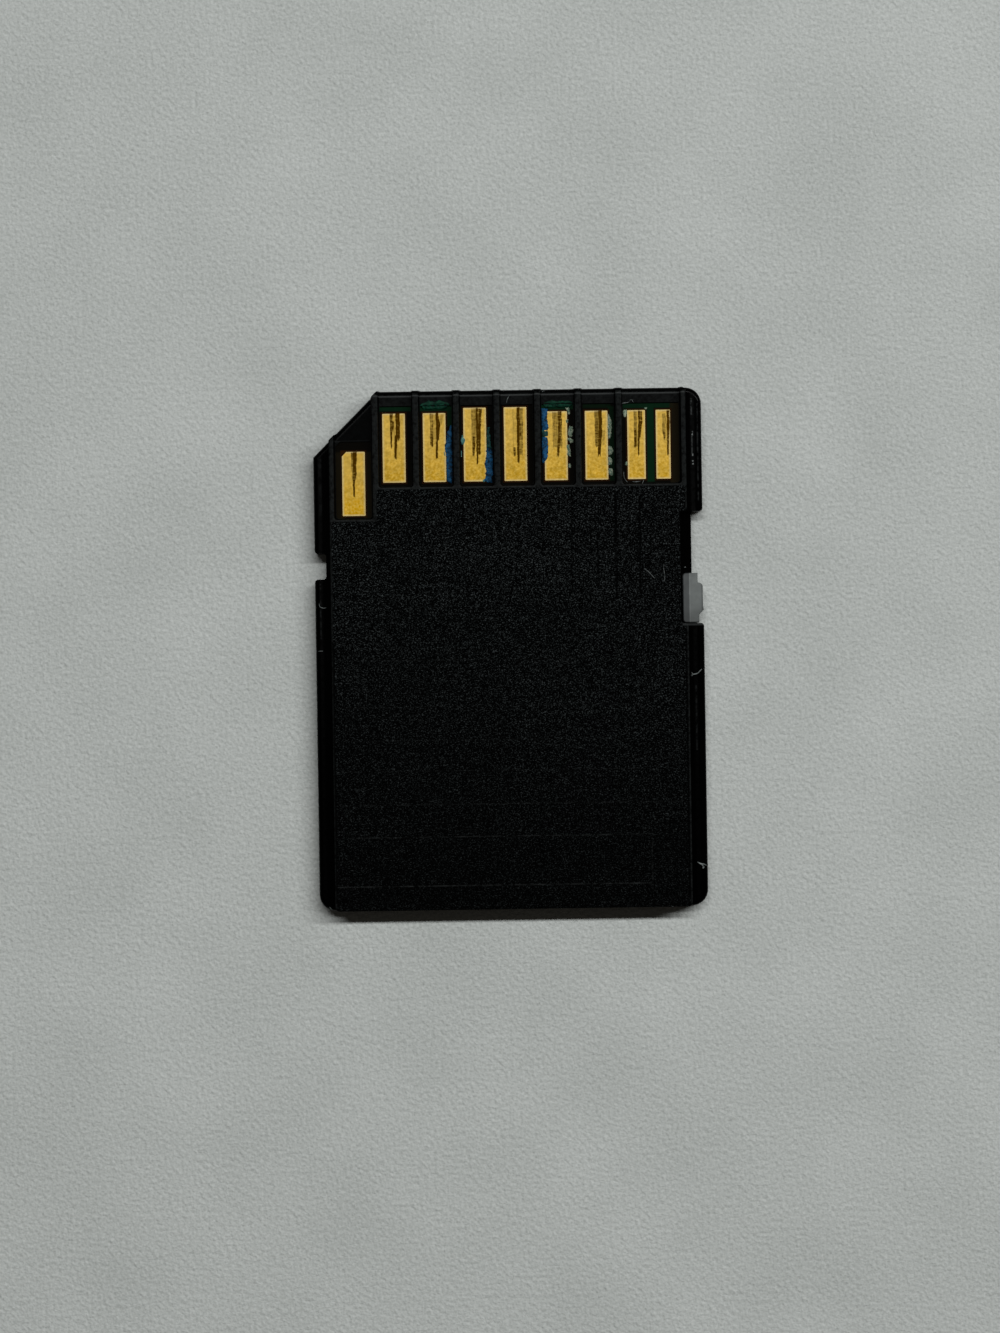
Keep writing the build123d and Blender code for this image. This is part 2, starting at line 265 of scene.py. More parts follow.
# lines that the mould and the slot left on the field: left, right, back, front in mm, and strength
fieldLines = [
    (-10.9, 8.5, -14.53, -14.47, 0.5),
    (-10.9, 8.5, -11.52, -11.46, 0.3),
    (-10.6, 10.4, -9.52, -9.47, 0.2),
    (-9.8, 4.0, -0.63, -0.58, 0.2),
    (-10.9, 8.0, -3.5, -3.44, 0.13),
    (-10.9, 6.0, -5.58, -5.52, 0.13),
    (-10.9, 8.0, -7.46, -7.4, 0.13),
    (8.52, 8.58, -14.9, -12.0, 0.25),
]
fieldScuffs = [
    (-2.84, -2.74, 7.5, 9.95, 0.9),
    (6.5, 6.68, 3.0, 9.6, 0.75),
    (8.0, 8.14, 3.0, 9.0, 0.8),
    (3.81, 3.93, 3.4, 8.6, 0.65),
    (5.41, 5.55, 3.6, 7.0, 0.65),
    (10.76, 10.87, -15.5, 1.0, 0.8),
    (-10.94, -10.82, -15.5, 0.6, 0.8),
]
# painted highlights along the rails' ridges and where their outer rounding starts, broken up like scuffs:
# left, right, back, front in mm, and strength
paintedRailHighlights = [
    (-11.68, -11.48, 8.4, 11.9, 0.12),
    (-11.7, -11.62, 0.8, 4.2, 0.3),
    (11.38, 11.48, -6.4, -2.4, 0.25),
    (11.7, 11.78, 9.0, 15.0, 0.45),
]
contactPitch = 2.5                 # mm
firstWindow = (-7.75, -6.0)        # mm, left and right
windowSpans = [[edge + contactPitch * place for edge in firstWindow] for place in range(6)]
windowSpans.append([7.25, 10.45])  # the last window holds two pads
# painted highlights along the rounded front edges of the ribs and ledges, the rail ends at the lock notch,
# the bevel ledge's inner edge and the windows' back edges: left, right, back, front in mm, and strength
paintedEdgeHighlights = [
    (-8.3, 10.95, 15.62, 15.7, 0.8),
    (10.62, 11.9, 1.3, 1.42, 0.6),
    (-10.7, -8.5, 12.92, 12.98, 0.25),
] + [(left, right, 9.98, 10.03, 0.22) for left, right in windowSpans]
# bright flecks along the right rail's ridge: left, right, back, front in mm, and strength
railFlecks = [
    (11.39, 11.44, 13.04, 13.26, 0.9),
    (11.4, 11.45, 11.72, 11.88, 0.7),
    (11.4, 11.47, 11.24, 11.46, 0.9),
    (11.37, 11.42, 11.9, 13.0, 0.15),
    (11.34, 11.42, 14.3, 15.3, 0.12),
]


def mouldedPolycarbonate(name, contactSide):
    # black polycarbonate: deep black, a dull spark-eroded grain on the broad face with painted glints on its
    # tops, satin ribs and rails
    material, tree, shader, place = newMaterial(name)
    x, y, z = addNode(tree, "SeparateXYZ", {0: place})
    side = addNode(tree, "Math", {0: x}, operation="ABSOLUTE")[0]
    top, ledge, soft = shellLook["fieldTop"], shellLook["ledgeTop"], shellLook["soft"]
    if contactSide:
        face = addNode(tree, "MapRange", {0: z, 1: top - soft, 2: top - soft / 2})[0]
        row = boxMask(tree, x, y, shellLook["windowRow"], soft)
        sideRow = boxMask(tree, x, y, shellLook["sideWindow"], soft)
        rows = addNode(tree, "Math", {0: row, 1: sideRow}, operation="MAXIMUM")[0]
        behind = addNode(tree, "Math", {0: 1.0, 1: rows}, operation="SUBTRACT")[0]
        edge = shellLook["fieldEdge"]
        within = addNode(tree, "MapRange", {0: side, 1: edge + 0.04, 2: edge - 0.04})[0]
        grained = face
        for share in (behind, within):
            grained = addNode(tree, "Math", {0: grained, 1: share}, operation="MULTIPLY")[0]
    else:
        start, full = shellLook["labelFace"]
        grained = addNode(tree, "MapRange", {0: z, 1: start, 2: full})[0]

    # worm-like grain of the spark pits, drawn out a little across the card, with faint streaks; its tops are
    # painted lighter as glints, brighter towards the contact end
    drawn = addNode(tree, "VectorMath", {0: place, 1: shellLook["grainDraw"]}, operation="MULTIPLY")[0]
    fine = addNode(tree, "TexNoise", {
        "Vector": drawn, "Scale": 1 / shellLook["grain"], "Detail": 1.5, "Distortion": 0.6,
    })[0]
    streakLength, streakStep = shellLook["streak"]
    swept = addNode(tree, "VectorMath", {
        0: place, 1: (1 / streakLength, 1 / streakStep, 1.0),
    }, operation="MULTIPLY")[0]
    streaks = addNode(tree, "TexNoise", {"Vector": swept, "Scale": 1.0})[0]
    streaks = addNode(tree, "MapRange", {0: streaks, 1: 0.35, 2: 0.65, 3: 0.8, 4: 1.2})[0]
    coarse = addNode(tree, "TexNoise", {"Vector": place, "Scale": 1 / shellLook["coarse"], "Detail": 1.0})[0]
    cloud = addNode(tree, "TexNoise", {"Vector": place, "Scale": 1 / shellLook["cloud"]})[0]
    height = addNode(tree, "Math", {
        0: coarse, 1: shellLook["coarseShare"], 2: fine,
    }, operation="MULTIPLY_ADD")[0]
    start, full = shellLook["glintHeights"]
    glintShare = addNode(tree, "MapRange", {0: height, 1: start, 2: full})[0]
    patchy = addNode(tree, "MapRange", {0: cloud, 1: 0.3, 2: 0.7, 3: 0.75, 4: 1.0})[0]
    back, front, backShare, frontShare = shellLook["glintAlongCard"]
    glintAlongCard = addNode(tree, "MapRange", {0: y, 1: back, 2: front, 3: backShare, 4: frontShare})[0]
    for share in (grained, patchy, glintAlongCard, streaks):
        glintShare = addNode(tree, "Math", {0: glintShare, 1: share}, operation="MULTIPLY")[0]
    colour = addNode(tree, "Mix", {
        0: glintShare, 6: toLinear(shellLook["black"]), 7: toLinear(shellLook["paintedGlint"]),
    }, data_type="RGBA")[2]

    if contactSide:
        # lighter mottle on the rib tops and field edges, less of it on the ledges, hardly any behind the
        # bevelled corner
        overLedge = addNode(tree, "MapRange", {0: z, 1: ledge - soft, 2: ledge - soft / 3})[0]
        wall = addNode(tree, "MapRange", {0: z, 1: ledge + soft / 3, 2: ledge + soft})[0]
        bevel = boxMask(tree, x, y, shellLook["bevelLedge"], shellLook["broadSoft"])
        shelf = addNode(tree, "Math", {0: overLedge, 1: wall}, operation="SUBTRACT")[0]
        ledgeMottle, bevelMottle = shellLook["ledgeMottle"]
        shelfShare = addNode(tree, "MapRange", {0: bevel, 3: ledgeMottle, 4: bevelMottle})[0]
        shelf = addNode(tree, "Math", {0: shelf, 1: shelfShare}, operation="MULTIPLY")[0]
        mottled = addNode(tree, "Math", {0: face, 1: grained}, operation="SUBTRACT")[0]
        mottled = addNode(tree, "Math", {0: mottled, 1: shelf}, operation="MAXIMUM")[0]
        smear = addNode(tree, "TexNoise", {
            "Vector": place, "Scale": 1 / shellLook["smear"], "Detail": 3.0, "Roughness": 0.7,
        })[0]
        lightMottle = addNode(tree, "MapRange", {0: smear, 1: 0.36, 2: 0.62, 3: 0.1, 4: 1.25})[0]
        mottled = addNode(tree, "Math", {0: mottled, 1: lightMottle}, operation="MULTIPLY", use_clamp=True)[0]
        colour = addNode(tree, "Mix", {
            0: mottled, 6: colour, 7: toLinear(shellLook["lightMottle"]),
        }, data_type="RGBA")[2]
        start, full, fall, end = shellLook["ridge"]
        across = addNode(tree, "Math", {0: x, 1: shellLook["ridgeShift"]}, operation="ADD")[0]
        across = addNode(tree, "Math", {0: across}, operation="ABSOLUTE")[0]
        ridge = addNode(tree, "MapRange", {0: across, 1: start, 2: full})[0]
        outer = addNode(tree, "MapRange", {0: across, 1: end, 2: fall})[0]
        back, front, backShare, frontShare = shellLook["ridgeWorn"]
        used = addNode(tree, "MapRange", {0: y, 1: back, 2: front, 3: backShare, 4: frontShare})[0]
        uneven = addNode(tree, "MapRange", {0: coarse, 1: 0.35, 2: 0.6, 3: 0.4, 4: 1.0})[0]
        for share in (outer, used, uneven):
            ridge = addNode(tree, "Math", {0: ridge, 1: share}, operation="MULTIPLY")[0]
        onRail = addNode(tree, "Mix", {
            0: ridge, 2: shellLook["railRoughness"], 3: shellLook["ridgeRoughness"],
        })[0]
        ledges = addNode(tree, "Mix", {
            0: bevel, 2: shellLook["ledgeRoughness"], 3: shellLook["bevelRoughness"],
        })[0]
        onLedge = addNode(tree, "Mix", {0: overLedge, 2: onRail, 3: ledges})[0]
        onWall = addNode(tree, "Mix", {0: wall, 2: onLedge, 3: shellLook["wallRoughness"]})[0]
        roughness = addNode(tree, "Mix", {0: face, 2: onWall, 3: shellLook["combRoughness"]})[0]
        start = shellLook["frontRound"]
        rounded = addNode(tree, "MapRange", {0: y, 1: start, 2: start + shellLook["broadSoft"]})[0]
        roughness = addNode(tree, "Mix", {0: rounded, 2: roughness, 3: shellLook["railRoughness"]})[0]
    else:
        roughness = shellLook["combRoughness"]
    roughness = addNode(tree, "Mix", {0: grained, 2: roughness, 3: shellLook["fieldRoughness"]})[0]

    if contactSide:
        broken = addNode(tree, "TexNoise", {
            "Vector": place, "Scale": 1 / shellLook["scuffBreak"], "Detail": 4.0, "Roughness": 0.7,
        })[0]
        broken = addNode(tree, "MapRange", {0: broken, 1: 0.42, 2: 0.62})[0]
        crumbled = addNode(tree, "TexNoise", {
            "Vector": place, "Scale": 1 / shellLook["crumb"], "Detail": 3.0,
        })[0]
        crumbled = addNode(tree, "MapRange", {0: crumbled, 1: 0.38, 2: 0.55})[0]
        # scuffs and mould lines, painted highlights on the rails and edges, bright flecks on the right rail,
        # and dark scuffs, each mixed into the colour
        families = [
            (fieldLines + paintedRailHighlights, broken, "scuffAndHighlight"), (paintedEdgeHighlights, 1.0, "scuffAndHighlight"),
            (railFlecks, crumbled, "fleck"), (fieldScuffs, 1.0, "black"),
        ]
        for marks, pattern, shadeName in families:
            for left, right, back, front, strength in marks:
                mark = boxMask(tree, x, y, (left, right, back, front), soft)
                for share in (pattern, strength):
                    mark = addNode(tree, "Math", {0: mark, 1: share}, operation="MULTIPLY")[0]
                colour = addNode(tree, "Mix", {
                    0: mark, 6: colour, 7: toLinear(shellLook[shadeName]),
                }, data_type="RGBA")[2]

    share = addNode(tree, "MapRange", {0: grained, 3: shellLook["satinDepth"], 4: 1.0})[0]
    relief = addNode(tree, "Math", {0: height, 1: share}, operation="MULTIPLY")[0]
    bump = addNode(tree, "Bump", {"Height": relief, "Distance": shellLook["grainDepth"] * mm})[0]
    wire(tree, shader, {
        "Base Color": colour, "Roughness": roughness,
        "Specular IOR Level": shellLook["gloss"], "Normal": bump,
    })
    return material


dress(mouldedPolycarbonate("sparkErodedPolycarbonate", True), "contact_shell")
dress(mouldedPolycarbonate("mouldedPolycarbonate", False), "label_shell")
print("shells dressed")

# Lock slider: natural acetal, injection moulded

sliderLook = {
    "overTongue": "#4b4e4f",       # painted shade where the black tongue shows through from below
    "milk": "#757978",
    # painted highlight line
    "line": "#959998",
    "tongueEdge": 11.1,            # mm
    "highlightLineWidth": 0.05,             # mm, painted highlight line along that edge
    "heel": (1.5, 2.8),            # mm, darker towards its back end
    "heelShade": 0.54,
    "rim": (11.84, 12.2, 2.2, 4.2),           # mm, painted shade along the outer edge
    "rimShade": 0.6,
    "flow": 0.556,                 # mm, clouds left by the moulding
    "soft": 0.06, "highlightLineSoft": 0.04,        # mm, over which they fade
    "roughness": (0.3, 0.42),
    "clear": 0.2, "ior": 1.48,
}


def naturalAcetal():
    # unpigmented acetal: milky, with painted shade where the black tongue shows through it
    material, tree, shader, place = newMaterial("naturalAcetal")
    x, y = addNode(tree, "SeparateXYZ", {0: place})[:2]
    flow = addNode(tree, "TexNoise", {"Vector": place, "Scale": 1 / sliderLook["flow"], "Detail": 3.0})[0]
    edge, soft = sliderLook["tongueEdge"], sliderLook["soft"]
    beyond = addNode(tree, "MapRange", {0: x, 1: edge - soft / 2, 2: edge + soft / 2})[0]
    colour = addNode(tree, "Mix", {
        0: beyond, 6: toLinear(sliderLook["overTongue"]), 7: toLinear(sliderLook["milk"]),
    }, data_type="RGBA")[2]
    # painted highlight line along the tongue's edge
    highlightLineBox = (edge, edge + sliderLook["highlightLineWidth"], -16, 16)    # as long as the card
    line = boxMask(tree, x, y, highlightLineBox, sliderLook["highlightLineSoft"])
    line = addNode(tree, "Math", {0: line, 1: flow}, operation="MULTIPLY")[0]
    colour = addNode(tree, "Mix", {
        0: line, 6: colour, 7: toLinear(sliderLook["line"]),
    }, data_type="RGBA")[2]
    shade = addNode(tree, "MapRange", {0: flow, 1: 0.3, 2: 0.7, 3: 0.85, 4: 1.1})[0]
    back, full = sliderLook["heel"]
    heel = addNode(tree, "MapRange", {0: y, 1: back, 2: full, 3: sliderLook["heelShade"], 4: 1.0})[0]
    rim = boxMask(tree, x, y, sliderLook["rim"], soft)
    rim = addNode(tree, "MapRange", {0: rim, 3: 1.0, 4: sliderLook["rimShade"]})[0]
    for share in (heel, rim):
        shade = addNode(tree, "Math", {0: shade, 1: share}, operation="MULTIPLY")[0]
    colour = addNode(tree, "VectorMath", {0: colour, "Scale": shade}, operation="SCALE")[0]
    smooth, rough = sliderLook["roughness"]
    roughness = addNode(tree, "MapRange", {0: flow, 3: smooth, 4: rough})[0]
    wire(tree, shader, {
        "Base Color": colour, "Roughness": roughness,
        "Transmission Weight": sliderLook["clear"], "IOR": sliderLook["ior"],
    })
    return material


dress(naturalAcetal(), "lock_slider")
print("slider dressed")

# Board: solder mask over copper and bare laminate

boardLook = {
    "overLaminate": "#0a0805",
    "overCopper": "#0a2515",
    "thin": "#1e190f",             # where the mask is thin over the laminate
    "margin": "#2a1607",           # a brown band round each pad
    "marginWidth": 0.09,           # mm
    "areaSoft": 0.08, "marginSoft": 0.06,  # mm, over which they fade
    "cloud": 0.25,                 # mm, uneven lacquer
    "weave": 0.2, "weaveDepth": 0.01,      # mm, glass cloth under it
    "roughness": 0.17, "gloss": 0.06,
}
# where copper lies under the mask, and where it is thin: left, right, back, front in mm, and strength
copperAreas = [
    (-7.9, -5.9, 14.78, 15.3, 0.9),
    (-5.5, -3.35, 14.76, 15.3, 1.0),
    (-3.72, -3.38, 13.8, 15.1, 0.7),
    (2.1, 4.2, 14.74, 15.3, 1.0),
    (4.7, 6.4, 14.8, 15.3, 0.4),
    (6.22, 6.62, 10.3, 14.9, 0.55),
    (7.15, 10.3, 14.76, 15.3, 0.9),
    (8.62, 9.06, 10.2, 15.0, 1.0),
]
thinAreas = [
    (-10.8, -10.1, 8.0, 12.3, 0.6),
    (-8.9, -8.3, 8.0, 12.3, 0.7),
    (10.05, 10.8, 10.0, 15.2, 0.9),
]


def greenSolderMask():
    # green lacquer, screened and cured: smooth, green over copper and almost black over bare laminate
    material, tree, shader, place = newMaterial("greenSolderMask")
    x, y = addNode(tree, "SeparateXYZ", {0: place})[:2]
    cloud = addNode(tree, "TexNoise", {"Vector": place, "Scale": 1 / boardLook["cloud"], "Detail": 3.0})[0]
    shade = addNode(tree, "MapRange", {0: cloud, 3: 0.75, 4: 1.2})[0]
    colour = toLinear(boardLook["overLaminate"])
    for areas, tint in ((copperAreas, "overCopper"), (thinAreas, "thin")):
        for left, right, back, front, strength in areas:
            mark = boxMask(tree, x, y, (left, right, back, front), boardLook["areaSoft"])
            for share in (strength, shade):
                mark = addNode(tree, "Math", {0: mark, 1: share}, operation="MULTIPLY", use_clamp=True)[0]
            colour = addNode(tree, "Mix", {
                0: mark, 6: colour, 7: toLinear(boardLook[tint]),
            }, data_type="RGBA")[2]
    margin = boardLook["marginWidth"]
    for number in range(1, 10):
        low, high = boxInMm(f"contact_pad_{number}")
        around = (low.x - margin, high.x + margin, low.y - margin, high.y + margin)
        mark = boxMask(tree, x, y, around, boardLook["marginSoft"])
        colour = addNode(tree, "Mix", {
            0: mark, 6: colour, 7: toLinear(boardLook["margin"]),
        }, data_type="RGBA")[2]
    weave = addNode(tree, "TexNoise", {"Vector": place, "Scale": 1 / boardLook["weave"]})[0]
    bump = addNode(tree, "Bump", {
        "Height": weave, "Strength": 0.4, "Distance": boardLook["weaveDepth"] * mm,
    })[0]
    wire(tree, shader, {
        "Base Color": colour, "Roughness": boardLook["roughness"],
        "Specular IOR Level": boardLook["gloss"], "Normal": bump,
    })
    return material


dress(greenSolderMask(), "circuit_board")
print("board dressed")

# Contact pads: hard gold over nickel, electroplated

padLook = {
    "gold": "#dcb95b",
    "worn": "#cda42a",             # yellower towards the inner end
    "wornSide": "#d4a600",         # the pad behind the bevelled corner
    "wornLength": 2.6,             # mm
    # painted highlight round the pads' edges
    "rim": "#dac48a",
    "rimWidth": 0.08,              # mm, painted highlight along the pad's edges
    "wiped": "#4f3300",            # nickel and dirt where the slot's fingers wiped
    "wear": 1.25,
    "roughness": (0.63, 0.73),
    "grain": 0.143, "grainDepth": 0.006,   # mm
    "cloud": 0.333,                # mm
    "line": (0.05, 1.11),          # mm, step and length of wipe lines, drawn coarser so that they show
    "lineDepth": (0.75, 1.25),
    "uneven": 0.2,                 # mm, the lines end at different places
    "rung": (0.25, 0.09),          # mm, the marks are broken into short cross bars
    "wander": (0.417, 0.04),       # mm, length and reach of the bends
    "soft": 0.02,                  # mm, edge of a wipe mark
}
# wipe marks on each pad, in mm: left and right at the front, left and right at the tip,
# front, tip, and then depth
wipeMarks = {
    1: [(-7.23, -7.03, -7.19, -7.12, 14.64, 12.47, 0.75), (-7.17, -6.98, -7.17, -7.0, 14.15, 13.55, 0.85),
        (-6.88, -6.61, -6.86, -6.61, 14.66, 13.0, 0.9), (-6.93, -6.76, -6.98, -6.84, 13.3, 11.85, 0.95),
        (-7.03, -6.88, -7.0, -6.9, 14.5, 12.6, 0.2)],
    2: [(-4.76, -4.54, -4.74, -4.56, 14.6, 12.58, 0.55), (-4.76, -4.55, -4.74, -4.56, 13.2, 12.6, 0.75),
        (-4.39, -4.24, -4.39, -4.13, 14.68, 13.9, 1.0), (-4.39, -4.12, -4.38, -4.22, 13.95, 12.9, 1.0),
        (-4.39, -4.26, -4.42, -4.29, 12.95, 11.84, 0.95), (-4.15, -3.9, -4.15, -4.0, 14.55, 13.95, 0.3),
        (-4.56, -4.37, -4.56, -4.4, 14.55, 12.75, 0.18)],
    3: [(-2.21, -1.9, -2.19, -1.9, 14.88, 12.9, 0.38), (-2.15, -1.9, -2.15, -2.03, 13.15, 12.0, 0.65),
        (-1.92, -1.78, -1.89, -1.81, 14.9, 11.47, 1.05), (-1.79, -1.53, -1.79, -1.6, 14.86, 13.9, 0.65),
        (-1.79, -1.61, -1.79, -1.65, 13.95, 12.05, 0.9)],
    4: [(0.6, 0.79, 0.61, 0.74, 14.9, 11.52, 1.05), (0.76, 1.0, 0.76, 0.95, 14.85, 11.95, 0.45),
        (0.76, 0.95, 0.76, 0.95, 13.95, 12.85, 0.55), (0.76, 0.92, 0.76, 0.92, 12.4, 11.95, 0.7),
        (0.35, 0.42, 0.36, 0.4, 14.8, 12.1, 0.22), (0.43, 0.58, 0.45, 0.56, 14.75, 12.6, 0.08),
        (0.38, 0.55, 0.39, 0.54, 12.45, 11.95, 0.6)],
    5: [(2.8, 3.14, 2.82, 3.14, 14.58, 12.4, 0.36), (3.14, 3.38, 3.15, 3.37, 14.62, 13.1, 0.75),
        (3.15, 3.36, 3.05, 3.18, 13.15, 11.86, 0.85), (3.28, 3.42, 3.28, 3.4, 13.0, 12.4, 0.45)],
    6: [(5.4, 5.66, 5.42, 5.62, 14.6, 12.42, 0.5), (5.65, 5.86, 5.65, 5.86, 14.64, 13.4, 0.95),
        (5.64, 5.88, 5.58, 5.74, 13.45, 11.86, 1.0), (5.86, 6.05, 5.88, 6.0, 13.4, 12.5, 0.25)],
    7: [(7.82, 8.02, 7.83, 8.04, 14.57, 12.37, 0.42), (7.83, 7.99, 7.84, 7.98, 13.45, 12.37, 0.65),
        (8.09, 8.22, 8.09, 8.22, 14.6, 13.9, 0.95), (8.19, 8.36, 8.19, 8.34, 14.57, 14.0, 0.6),
        (8.1, 8.35, 8.06, 8.22, 13.95, 12.9, 1.0), (8.06, 8.18, 8.06, 8.14, 12.95, 11.83, 0.95)],
    8: [(9.58, 9.8, 9.58, 9.79, 14.4, 13.2, 0.42), (9.58, 9.78, 9.68, 9.77, 13.3, 12.8, 0.6),
        (9.86, 10.04, 9.86, 9.96, 14.58, 11.83, 0.95), (9.84, 10.06, 9.85, 10.0, 13.95, 13.0, 0.75)],
    9: [(-9.65, -9.29, -9.61, -9.33, 12.28, 10.6, 0.5), (-9.54, -9.29, -9.56, -9.36, 12.3, 10.7, 0.9),
        (-9.57, -9.41, -9.54, -9.45, 10.9, 9.6, 1.0)],
}


def goldOverNickel(name, node, marks, worn):
    # hard gold, electroplated: warm and softly matt, with a painted highlight round its edges, worn through
    # in fine lines by the slot's fingers
    material, tree, shader, place = newMaterial(name)
    x, y = addNode(tree, "SeparateXYZ", {0: place})[:2]
    low, high = boxInMm(node)

    grain = addNode(tree, "TexNoise", {"Vector": place, "Scale": 1 / padLook["grain"], "Detail": 3.0})[0]
    inner = addNode(tree, "MapRange", {0: y, 1: low.y + padLook["wornLength"], 2: low.y, 3: 0.15, 4: 0.9})[0]
    speckle = addNode(tree, "MapRange", {0: grain, 1: 0.35, 2: 0.65, 3: 0.4, 4: 1.3})[0]
    inner = addNode(tree, "Math", {0: inner, 1: speckle}, operation="MULTIPLY", use_clamp=True)[0]
    colour = addNode(tree, "Mix", {
        0: inner, 6: toLinear(padLook["gold"]), 7: toLinear(worn),
    }, data_type="RGBA")[2]
    cloud = addNode(tree, "TexNoise", {
        "Vector": place, "Scale": 1 / padLook["cloud"], "Detail": 4.0, "Roughness": 0.7,
    })[0]
    shade = addNode(tree, "MapRange", {0: cloud, 1: 0.32, 2: 0.68, 3: 0.82, 4: 1.14})[0]
    colour = addNode(tree, "VectorMath", {0: colour, "Scale": shade}, operation="SCALE")[0]
    # painted highlight round the pad's edges
    rim = padLook["rimWidth"]
    middle = boxMask(tree, x, y, (low.x + rim, high.x - rim, low.y + rim, high.y - rim), rim * 1.5)
    colour = addNode(tree, "Mix", {
        0: middle, 6: toLinear(padLook["rim"]), 7: colour,
    }, data_type="RGBA")[2]

    # fine lines along the pad, crossed by short bars and wandering a little
    lineStep, lineLength = padLook["line"]
    faint, strong = padLook["lineDepth"]
    stretched = addNode(tree, "VectorMath", {
        0: place, 1: (1 / lineStep, 1 / lineLength, 1.0),
    }, operation="MULTIPLY")[0]
    lines = addNode(tree, "TexNoise", {"Vector": stretched, "Scale": 1.0})[0]
    lines = addNode(tree, "MapRange", {0: lines, 1: 0.38, 2: 0.56, 3: faint, 4: strong})[0]
    rungWidth, rungStep = padLook["rung"]
    crossed = addNode(tree, "VectorMath", {
        0: place, 1: (1 / rungWidth, 1 / rungStep, 1.0),
    }, operation="MULTIPLY")[0]
    rungs = addNode(tree, "TexNoise", {"Vector": crossed, "Scale": 1.0})[0]
    rungs = addNode(tree, "MapRange", {0: rungs, 1: 0.35, 2: 0.6, 3: 0.72, 4: 1.25})[0]
    broken = addNode(tree, "Math", {0: lines, 1: rungs}, operation="MULTIPLY")[0]
    bend, reach = padLook["wander"]
    wander = addNode(tree, "TexNoise", {"W": y, "Scale": 1 / bend, "Detail": 4.0}, noise_dimensions="1D")[0]
    wander = addNode(tree, "MapRange", {0: wander, 3: -reach, 4: reach})[0]
    wandered = addNode(tree, "Math", {0: x, 1: wander}, operation="ADD")[0]
    uneven, soft = padLook["uneven"], padLook["soft"]
    combed = addNode(tree, "Math", {0: lines, 1: uneven, 2: y}, operation="MULTIPLY_ADD")[0]
    wiped = 0.0
    for left, right, leftTip, rightTip, front, tip, depth in marks:
        fromTip = addNode(tree, "MapRange", {0: y, 1: tip, 2: front})[0]
        leftEdge = addNode(tree, "MapRange", {0: fromTip, 3: leftTip, 4: left})[0]
        rightEdge = addNode(tree, "MapRange", {0: fromTip, 3: rightTip, 4: right})[0]
        fromLeft = addNode(tree, "Math", {0: wandered, 1: leftEdge}, operation="SUBTRACT")[0]
        fromRight = addNode(tree, "Math", {0: rightEdge, 1: wandered}, operation="SUBTRACT")[0]
        inside = addNode(tree, "Math", {0: fromLeft, 1: fromRight}, operation="MINIMUM")[0]
        deep = depth * padLook["wear"]
        mark = addNode(tree, "MapRange", {0: inside, 1: -soft, 2: soft, 4: deep})[0]
        started = addNode(tree, "MapRange", {
            0: combed, 1: tip + uneven * faint, 2: tip + uneven * strong,
        })[0]
        ended = addNode(tree, "MapRange", {0: y, 1: front + soft * 2, 2: front - soft * 2})[0]
        for share in (started, ended):
            mark = addNode(tree, "Math", {0: mark, 1: share}, operation="MULTIPLY")[0]
        wiped = addNode(tree, "Math", {0: mark, 1: wiped}, operation="MAXIMUM")[0]
    wiped = addNode(tree, "Math", {0: wiped, 1: broken}, operation="MULTIPLY", use_clamp=True)[0]
    colour = addNode(tree, "Mix", {
        0: wiped, 6: colour, 7: toLinear(padLook["wiped"]),
    }, data_type="RGBA")[2]

    smooth, rough = padLook["roughness"]
    roughness = addNode(tree, "MapRange", {0: grain, 1: 0.3, 2: 0.7, 3: smooth, 4: rough})[0]
    bump = addNode(tree, "Bump", {
        "Height": grain, "Strength": 0.5, "Distance": padLook["grainDepth"] * mm,
    })[0]
    wire(tree, shader, {"Base Color": colour, "Metallic": 1.0, "Roughness": roughness, "Normal": bump})
    return material


for number, marks in wipeMarks.items():
    padNode = f"contact_pad_{number}"
    worn = padLook["wornSide"] if number == 9 else padLook["worn"]
    dress(goldOverNickel(f"goldOverNickel{number}", padNode, marks, worn), padNode)
print("pads dressed")

# Packages under the board

packageLook = {
    "epoxy": "#141516", "silica": "#2a2b2c", "tin": "#c9cbcc",
    "capacitor": "#8a6a4c", "resistor": "#16171b",
    "terminal": 0.25,              # mm, tinned at each end
    "sand": 0.0833, "sandDepth": 0.008,    # mm
    "crystal": 0.0714, "clayGrain": 0.0625,    # mm, drawn coarser than real so that they show
    "epoxyRoughness": 0.65, "tinRoughness": (0.28, 0.42), "ceramicRoughness": 0.4,
}


def mouldedEpoxy():
    # silica-filled epoxy, transfer moulded: matt charcoal with a fine sandy tooth
    material, tree, shader, place = newMaterial("mouldedEpoxy")
    sand = addNode(tree, "TexNoise", {"Vector": place, "Scale": 1 / packageLook["sand"], "Detail": 3.0})[0]
    colour = addNode(tree, "Mix", {
        0: sand, 6: toLinear(packageLook["epoxy"]), 7: toLinear(packageLook["silica"]),
    }, data_type="RGBA")[2]
    bump = addNode(tree, "Bump", {
        "Height": sand, "Strength": 0.5, "Distance": packageLook["sandDepth"] * mm,
    })[0]
    wire(tree, shader, {"Base Color": colour, "Roughness": packageLook["epoxyRoughness"], "Normal": bump})
    return material


def tinnedCopper():
    # tin over copper, plated: bright grey, faintly crystalline
    material, tree, shader, place = newMaterial("tinnedCopper")
    crystals = addNode(tree, "TexVoronoi", {"Vector": place, "Scale": 1 / packageLook["crystal"]})[0]
    smooth, rough = packageLook["tinRoughness"]
    roughness = addNode(tree, "MapRange", {0: crystals, 3: smooth, 4: rough})[0]
    wire(tree, shader, {
        "Base Color": toLinear(packageLook["tin"]), "Metallic": 1.0, "Roughness": roughness,
    })
    return material


